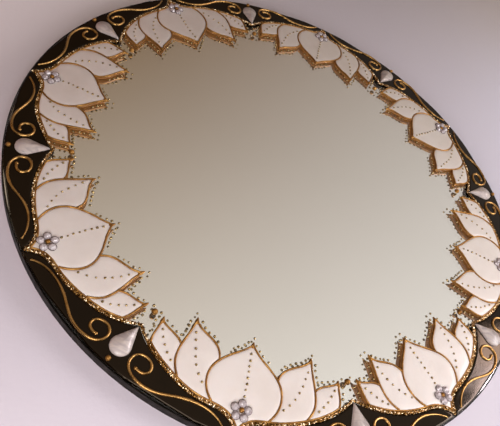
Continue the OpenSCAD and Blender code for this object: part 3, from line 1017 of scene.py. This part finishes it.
def dots():
    """Small domes of gold, set by hand, and the loose beads."""
    on_glass, on_petals, beads = Solid(), Solid(), Solid()
    for i in FLOWERS:
        turn = flower_turn(i)
        sow(on_glass, dot_places(), turn, 0.28, (0.70, 1.0), 0.9, GLASS + 0.25, 0.06,
            GLASS + GLUE)
        sow(on_petals, petal_dot_places(), turn, 0.14, (0.66, 0.88), 0.85, ENAMEL + 0.12, 0.05,
            ENAMEL - 0.1)
        for y, r, floor in ((BIG_BEAD_Y, BIG_BEAD_R, GLASS + GLUE),
                            (RIM_BEAD_Y, RIM_BEAD_R, PANEL - 0.05)):
            at = laid([[0, y]], panel_turn(i))[0]
            beads.pebble([*at, floor + 0.35 * r], np.full(3, r) * 0.98, 3, 0.015, floor=floor)
    on_glass.piece("dots_on_glass", DOTS, "brass", ["mirror_dots"])
    on_petals.piece("dots_on_petals", DOTS, "brass", ["petal_dots"])
    beads.piece("loose_beads", GOLD, "brass", ["gold_beads"])


def pearl_drops():
    """Domed drops with a soft ridge from the tip to the middle of the round end."""
    edge = 1.2              # height of a drop at its edge
    shape = drop_shape()
    ridge = np.stack([np.zeros(30), np.linspace(DROP_TIP_Y - 0.4, DROP_MIDDLE_Y, 30)], 1)
    area = filled([shape], lambda p: within(p, shape), 1.1, [0.25, 0.6], extra=[ridge])
    points, reach = area[0], area[3]
    dome = 1 - (1 - reach / reach.max()) ** 1.7
    profile = PANEL + edge * rounded(reach, 0.5) + (DROP - PANEL - edge) * dome
    drops = Solid()
    for i in FLOWERS:
        drops.plate(area, swung(points, panel_turn(i)), profile, PANEL - 0.1)
    drops.piece("pearl_drops", PEARL, "pearl", ["teardrops"])


glass()
panels()
flowers()
rope()
scrolls()
dots()
pearl_drops()


# ---- CAD nodes that are shown as they are ----
def wear(node, material):
    """Give a CAD node its material."""
    thing = frame["nodes"][node]
    thing.data.materials.clear()
    thing.data.materials.append(material)


wear("backing_board", hardboard_look())
wear("edge_band", EDGE_TAPE)
strap_steel = steel_look("strap_steel", (0.62, 0.60, 0.57), (1, 1, 0.08))
ring_steel = steel_look("ring_steel", (0.70, 0.69, 0.66), (0.1, 1, 1))
screw_steel = steel_look("screw_steel", (0.66, 0.60, 0.48), (1, 1, 1))
for side in ("left", "right"):
    wear(f"strap_{side}", strap_steel)
    wear(f"ring_{side}", ring_steel)
wear("hanger_screws", screw_steel)
wear("wall_pads", RUBBER)


# ---- room ----
ROOM = 3                    # half the width of the wall and the floor, in metres
WALL_Y = 0.0006
WALL_HOLE = 0.19            # radius of the wall's opening behind the disc
FLOOR_Z = -0.95


def wall_look():
    """Lilac wall paint with a roller's grain, seen only from the room's side."""
    look = Look("wall_paint")
    look.colour(look.noise(3, 4), (0.3, (0.72, 0.635, 0.705)), (0.7, (0.75, 0.66, 0.73)))
    look.rough(look.noise(40, 3), 0.75, 0.9)
    look.bump(look.noise(330, 4), 0.0004, 0.4)
    facing = look.node("ShaderNodeNewGeometry").outputs["Backfacing"]
    clear = look.node("ShaderNodeBsdfTransparent")
    mix = look.node("ShaderNodeMixShader", {
        0: facing, 1: look.shader.outputs["BSDF"], 2: clear.outputs["BSDF"]})
    look.link(mix.outputs["Shader"], look.tree.nodes["Material Output"].inputs["Surface"])
    return look.material


def room_sheet(name, points, faces, material):
    """A sheet that belongs to the room and not to the part."""
    mesh = bpy.data.meshes.new(name)
    mesh.from_pydata(points, [], faces)
    mesh.materials.append(material)
    sheet = bpy.data.objects.new(name, mesh)
    bpy.context.scene.collection.objects.link(sheet)
    return sheet


def room_wall():
    """A square sheet with a round opening that the disc hides, so that light finds its back."""
    n = 64
    inner, outer = [], []
    for t in np.linspace(0, 2 * math.pi, n, endpoint=False):
        x, z = math.cos(t), math.sin(t)
        far = max(abs(x), abs(z))
        inner.append((WALL_HOLE * x, WALL_Y, WALL_HOLE * z))
        outer.append((x / far * ROOM, WALL_Y, z / far * ROOM))
    faces = [(k, n + k, n + (k + 1) % n, (k + 1) % n) for k in range(n)]
    return room_sheet("wall", inner + outer, faces, wall_look())


def room_floor():
    corners = [(-ROOM, -ROOM), (ROOM, -ROOM), (ROOM, ROOM), (-ROOM, ROOM)]
    room_sheet("floor", [(x, y, FLOOR_Z) for x, y in corners], [(0, 1, 2, 3)], FLOOR_PAINT)


MIRROR_SHARE = 0.88         # share of light that the mirror sends back
# Each channel's level in the mirror, and how much it grows to the right and downwards.
ROOM_COLOURS = (
    ("Red", 0.890, 0.475, 0.781),
    ("Green", 0.816, 0.505, 0.773),
    ("Blue", 0.733, 0.539, 0.729))
ROOM_DARKEST, ROOM_BRIGHTEST = 0.10, 0.95
AMBIENT = (0.02, 0.015, 0.013, 1)


def world():
    """A room of soft light for what mirrors it: grey-beige, brighter low down and to the right.
    Matt surfaces get a faint ambient light instead, and the lamps."""
    made = bpy.data.worlds.new("room")
    bpy.context.scene.world = made
    made.use_nodes = True
    if hasattr(made, "cycles"):
        made.cycles.sampling_method = "NONE"    # so that matt surfaces get the ambient light only
    tree = made.node_tree
    tree.nodes.clear()
    place = new_node(tree, "ShaderNodeTexCoord").outputs["Generated"]
    join = new_node(tree, "ShaderNodeCombineColor")
    for socket, base, right, down in ROOM_COLOURS:
        slope = (right / MIRROR_SHARE, 0, -down / MIRROR_SHARE)
        level = new_node(tree, "ShaderNodeVectorMath", {0: place, 1: slope},
                         operation="DOT_PRODUCT").outputs["Value"]
        for operation, value in (("ADD", base / MIRROR_SHARE), ("MAXIMUM", ROOM_DARKEST),
                                 ("MINIMUM", ROOM_BRIGHTEST)):
            level = new_node(tree, "ShaderNodeMath", {0: level, 1: value},
                             operation=operation).outputs[0]
        tree.links.new(level, join.inputs[socket])
    seen = new_node(tree, "ShaderNodeBackground", {"Color": join.outputs[0]})
    ambient = new_node(tree, "ShaderNodeBackground", {"Color": AMBIENT})
    matt = new_node(tree, "ShaderNodeLightPath").outputs["Is Diffuse Ray"]
    mix = new_node(tree, "ShaderNodeMixShader", {
        0: matt, 1: seen.outputs[0], 2: ambient.outputs[0]})
    new_node(tree, "ShaderNodeOutputWorld", {"Surface": mix.outputs[0]})


def soft_light(name, at, towards, size, radiance, colour):
    """A square soft box. radiance is what a point of it sends out."""
    data = bpy.data.lights.new(name, "AREA")
    data.shape = "SQUARE"
    data.size = size
    data.color = colour
    data.energy = radiance * math.pi * size * size
    lamp = bpy.data.objects.new(name, data)
    bpy.context.scene.collection.objects.link(lamp)
    lamp.location = at
    lamp.rotation_mode = "QUATERNION"
    lamp.rotation_quaternion = (Vector(at) - Vector(towards)).to_track_quat("Z", "Y")
    return lamp


def lamps(wall_sheet):
    """The soft boxes. Two fill lamps don't show in the mirror, and two light only the wall."""
    soft_light("below", (-0.05, -0.27, -0.45), (0, 0, -0.08), 0.25, 7.8, (1.0, 1.0, 1.0))
    soft_light("right", (0.42, -0.27, -0.12), (0.05, 0, -0.03), 0.25, 7.1, (1.0, 1.0, 1.02))
    for fill in (
            soft_light("upper_right", (0.42, -0.30, 0.45), (0, 0, 0), 0.30, 1.5, (1.2, 1.0, 0.55)),
            soft_light("left", (-0.62, -0.30, 0.08), (0, 0, 0), 0.30, 1.6, (1.0, 0.42, 0.28))):
        fill.visible_glossy = False
        fill.visible_transmission = False
    wall_only = bpy.data.collections.new("wall_only")
    wall_only.objects.link(wall_sheet)
    for wash in (
            soft_light("wall_left", (-0.42, -0.20, 0.16), (-0.30, 0, 0.10), 0.20, 2.6,
                       (0.97, 1.0, 0.84)),
            soft_light("wall_right", (0.40, -0.14, 0.22), (0.28, 0, 0.22), 0.14, 4.6,
                       (0.66, 0.8, 1.0))):
        wash.light_linking.receiver_collection = wall_only
        wash.visible_glossy = False
    soft_light("back_of_disc", (0.25, 0.9, 0.3), (0, 0, 0), 0.8, 2.0, (1.0, 0.98, 0.96))


# ---- camera ----
def camera():
    """Below and a little left of the disc's middle, looking up at it, slightly rolled."""
    middle = Vector((0, -GLASS * MM, 0))
    right = Vector((0.917, -0.344, 0.203)).normalized()
    ahead = Vector((0.145, 0.760, 0.633)).normalized()
    up = right.cross(ahead).normalized()
    right = ahead.cross(up).normalized()
    data = bpy.data.cameras.new("camera")
    data.sensor_width = 36
    data.lens = 41.93
    data.clip_start = 0.01
    data.clip_end = 50
    eye = bpy.data.objects.new("camera", data)
    bpy.context.scene.collection.objects.link(eye)
    turn = Matrix((right, up, -ahead)).transposed()
    place = middle + Vector((-0.0808, -0.3086, -0.3060))
    eye.matrix_world = Matrix.Translation(place) @ turn.to_4x4()
    bpy.context.scene.camera = eye
    return eye


def window(eye, name, across, down, width, height, lean, radiance, colour):
    """A bright pane that only shows as a reflection in the lacquer at the lower right.

    Its middle, from the middle of the view, and its size are in widths of the view, as the
    reflection is seen. lean turns it clockwise, in degrees."""
    away = 1.5              # metres from the eye to the pane's mirror image
    lean = math.radians(lean)
    scale = away * eye.data.sensor_width / eye.data.lens
    turn = eye.matrix_world.to_3x3()
    right, up, ahead = turn.col[0], turn.col[1], -turn.col[2]
    middle = eye.location + ahead * away + (right * across - up * down) * scale
    x = right * math.cos(lean) - up * math.sin(lean)
    y = up * math.cos(lean) + right * math.sin(lean)
    flip = Matrix.Diagonal((1, -1, 1))
    lamp = soft_light(name, (0, 0, 0), (0, 1, 0), 1, radiance, colour)
    data = lamp.data
    data.shape = "RECTANGLE"
    data.size = width * scale
    data.size_y = height * scale
    data.energy = radiance * math.pi * data.size * data.size_y
    place = flip @ middle - Vector((0, 2 * PANEL * MM, 0))
    turn = Matrix((flip @ x, flip @ y, flip @ ahead)).transposed()
    lamp.matrix_world = Matrix.Translation(place) @ turn.to_4x4()
    lamp.visible_diffuse = False


wall_sheet = room_wall()
room_floor()
world()
lamps(wall_sheet)
eye = camera()
window(eye, "pane_strip", 0.440, 0.318, 0.010, 0.07, 13, 30, (1.0, 0.86, 0.90))
window(eye, "pane_side", 0.507, 0.410, 0.125, 0.20, 13, 32, (1.0, 0.86, 0.90))
window(eye, "pane_top", 0.532, 0.267, 0.160, 0.07, 0, 15, (1.0, 0.76, 0.66))
bpy.context.scene.view_settings.view_transform = "Standard"
